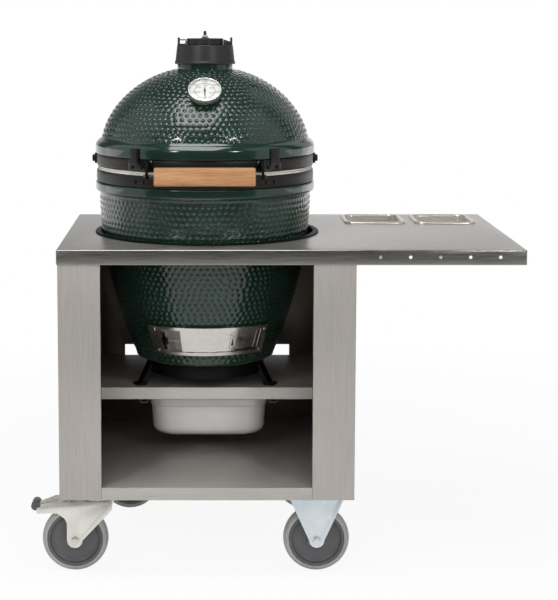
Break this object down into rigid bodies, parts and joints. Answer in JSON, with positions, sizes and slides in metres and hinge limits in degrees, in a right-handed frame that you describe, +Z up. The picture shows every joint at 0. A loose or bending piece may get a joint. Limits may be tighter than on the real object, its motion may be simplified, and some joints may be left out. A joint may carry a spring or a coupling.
{
  "type": "kamado grill table",
  "caption": "Ceramic kamado grill standing through a round cut-out in the worktop of a wheeled stainless cabinet with an overhanging side shelf.",
  "frame": {"origin": "on the floor, at the middle of the length and depth that the object covers", "axes": "+Z up, -Y the open front with the handle and thermometer, +X towards the overhanging shelf"},
  "size_m": [1.1734, 0.7, 1.3058],
  "materials": {
    "worktop_steel": "fine brushed along its length",
    "side_steel": "fine brushed along its height",
    "inner_steel": "fine brushed, in shade",
    "pan_steel": "satin, deep drawn",
    "black_trim": "gloss",
    "green_glaze": "gloss, dimpled",
    "raw_ceramic": "matte",
    "band_steel": "satin",
    "black_paint": "gloss",
    "felt": "matte felt",
    "cast_iron": "matte, sand cast",
    "grid_steel": "polished rod",
    "zinc_steel": "bright zinc plate",
    "spring_steel": "oiled black",
    "handle_wood": "oiled",
    "case_steel": "polished",
    "dial_face": "satin, printed with plain numbers",
    "needle_paint": "satin",
    "draft_steel": "bright brushed",
    "screen_steel": "perforated",
    "pedal_paint": "moulded",
    "tread_rubber": "grey, matte",
    "hub_plastic": "moulded"
  },
  "bodies": {
    "table": {"worktop": "worktop_steel", "side_panel_left": "side_steel", "side_panel_right": "side_steel", "back_panel": "inner_steel", "middle_shelf": "inner_steel", "bottom_shelf": "inner_steel", "hole_trim_ring": "black_trim", "pan_rail_left": "inner_steel", "pan_rail_right": "inner_steel", "caster_plate_front_left": "zinc_steel", "caster_plate_rear_left": "zinc_steel", "caster_fork_front_right": "zinc_steel", "caster_fork_rear_right": "zinc_steel", "caster_axle_front_right": "zinc_steel", "caster_axle_rear_right": "zinc_steel", "base_ceramic": "green_glaze", "lower_band": "band_steel", "base_gasket": "felt", "fire_box": "raw_ceramic", "fire_ring": "raw_ceramic", "fire_grate": "cast_iron", "nest_stand": "black_paint", "hinge_lower": "band_steel", "hinge_pin": "zinc_steel", "hinge_spring": "spring_steel", "draft_frame": "draft_steel"},
    "dome": {"dome_ceramic": "green_glaze", "upper_band": "band_steel", "dome_gasket": "felt", "handle_bracket_left": "black_paint", "handle_bracket_right": "black_paint", "handle_rod": "zinc_steel", "handle_bar": "handle_wood", "hinge_upper": "band_steel", "thermometer_case": "case_steel", "thermometer_dial": "dial_face"},
    "cap": {"cap_body": "cast_iron", "cap_spindle": "zinc_steel"},
    "cap_disc": {"cap_disc": "cast_iron"},
    "needle": {"thermometer_needle": "needle_paint"},
    "grid": {"cooking_grid": "grid_steel"},
    "draft_door": {"draft_door": "draft_steel"},
    "draft_screen": {"draft_screen": "screen_steel"},
    "waste_pan": {"waste_pan": "pan_steel"},
    "spice_pan_left": {"spice_pan_left": "pan_steel"},
    "spice_pan_right": {"spice_pan_right": "pan_steel"},
    "fork_front_left": {"caster_fork_front_left": "zinc_steel", "caster_axle_front_left": "zinc_steel"},
    "pedal_front_left": {"brake_pedal_front_left": "pedal_paint"},
    "fork_rear_left": {"caster_fork_rear_left": "zinc_steel", "caster_axle_rear_left": "zinc_steel"},
    "pedal_rear_left": {"brake_pedal_rear_left": "pedal_paint"},
    "wheel_front_left": {"wheel_tread_front_left": "tread_rubber", "wheel_hub_front_left": "hub_plastic"},
    "wheel_rear_left": {"wheel_tread_rear_left": "tread_rubber", "wheel_hub_rear_left": "hub_plastic"},
    "wheel_front_right": {"wheel_tread_front_right": "tread_rubber", "wheel_hub_front_right": "hub_plastic"},
    "wheel_rear_right": {"wheel_tread_rear_right": "tread_rubber", "wheel_hub_rear_right": "hub_plastic"}
  },
  "joints": [
    {"name": "dome_hinge", "type": "hinge", "parent": "table", "child": "dome", "pos_m": [-0.16575, 0.318, 0.9662], "axis": [-1, 0, 0], "range_deg": [0, 75]},
    {"name": "cap_lift", "type": "slide", "parent": "dome", "child": "cap", "axis": [0, 0, 1], "range_m": [0, 0.08]},
    {"name": "cap_disc_turn", "type": "hinge", "parent": "cap", "child": "cap_disc", "pos_m": [-0.16575, 0, 1.2712], "axis": [0, 0, 1], "range_deg": [-45, 45]},
    {"name": "needle_turn", "type": "hinge", "parent": "dome", "child": "needle", "pos_m": [-0.16575, -0.20311, 1.16181], "axis": [0, -0.6628, 0.7488], "range_deg": [-290, 0]},
    {"name": "grid_lift", "type": "slide", "parent": "table", "child": "grid", "axis": [0, 0, 1], "range_m": [0, 0.02]},
    {"name": "draft_door_slide", "type": "hinge", "parent": "table", "child": "draft_door", "pos_m": [-0.16575, 0, 0.553], "axis": [0, 0, 1], "range_deg": [-9, 18]},
    {"name": "draft_screen_slide", "type": "hinge", "parent": "table", "child": "draft_screen", "pos_m": [-0.16575, 0, 0.553], "axis": [0, 0, 1], "range_deg": [0, 9]},
    {"name": "waste_pan_slide", "type": "slide", "parent": "table", "child": "waste_pan", "axis": [0, -1, 0], "range_m": [0, 0.25]},
    {"name": "spice_pan_left_lift", "type": "slide", "parent": "table", "child": "spice_pan_left", "axis": [0, 0, 1], "range_m": [0, 0.15]},
    {"name": "spice_pan_right_lift", "type": "slide", "parent": "table", "child": "spice_pan_right", "axis": [0, 0, 1], "range_m": [0, 0.15]},
    {"name": "swivel_front_left", "type": "hinge", "parent": "table", "child": "fork_front_left", "pos_m": [-0.42675, -0.253, 0.185], "axis": [0, 0, 1], "continuous": true},
    {"name": "wheel_turn_front_left", "type": "hinge", "parent": "fork_front_left", "child": "wheel_front_left", "pos_m": [-0.48075, -0.253, 0.08], "axis": [0, 1, 0], "continuous": true},
    {"name": "brake_front_left", "type": "hinge", "parent": "fork_front_left", "child": "pedal_front_left", "pos_m": [-0.48875, -0.253, 0.1843], "axis": [0, -1, 0], "range_deg": [0, 12]},
    {"name": "swivel_rear_left", "type": "hinge", "parent": "table", "child": "fork_rear_left", "pos_m": [-0.42675, 0.253, 0.185], "axis": [0, 0, 1], "continuous": true},
    {"name": "wheel_turn_rear_left", "type": "hinge", "parent": "fork_rear_left", "child": "wheel_rear_left", "pos_m": [-0.37275, 0.253, 0.08], "axis": [0, 1, 0], "continuous": true},
    {"name": "brake_rear_left", "type": "hinge", "parent": "fork_rear_left", "child": "pedal_rear_left", "pos_m": [-0.36475, 0.253, 0.1843], "axis": [0, 1, 0], "range_deg": [0, 12]},
    {"name": "wheel_turn_front_right", "type": "hinge", "parent": "table", "child": "wheel_front_right", "pos_m": [0.10525, -0.253, 0.08], "axis": [0, 1, 0], "continuous": true},
    {"name": "wheel_turn_rear_right", "type": "hinge", "parent": "table", "child": "wheel_rear_right", "pos_m": [0.10525, 0.253, 0.08], "axis": [0, 1, 0], "continuous": true}
  ]
}
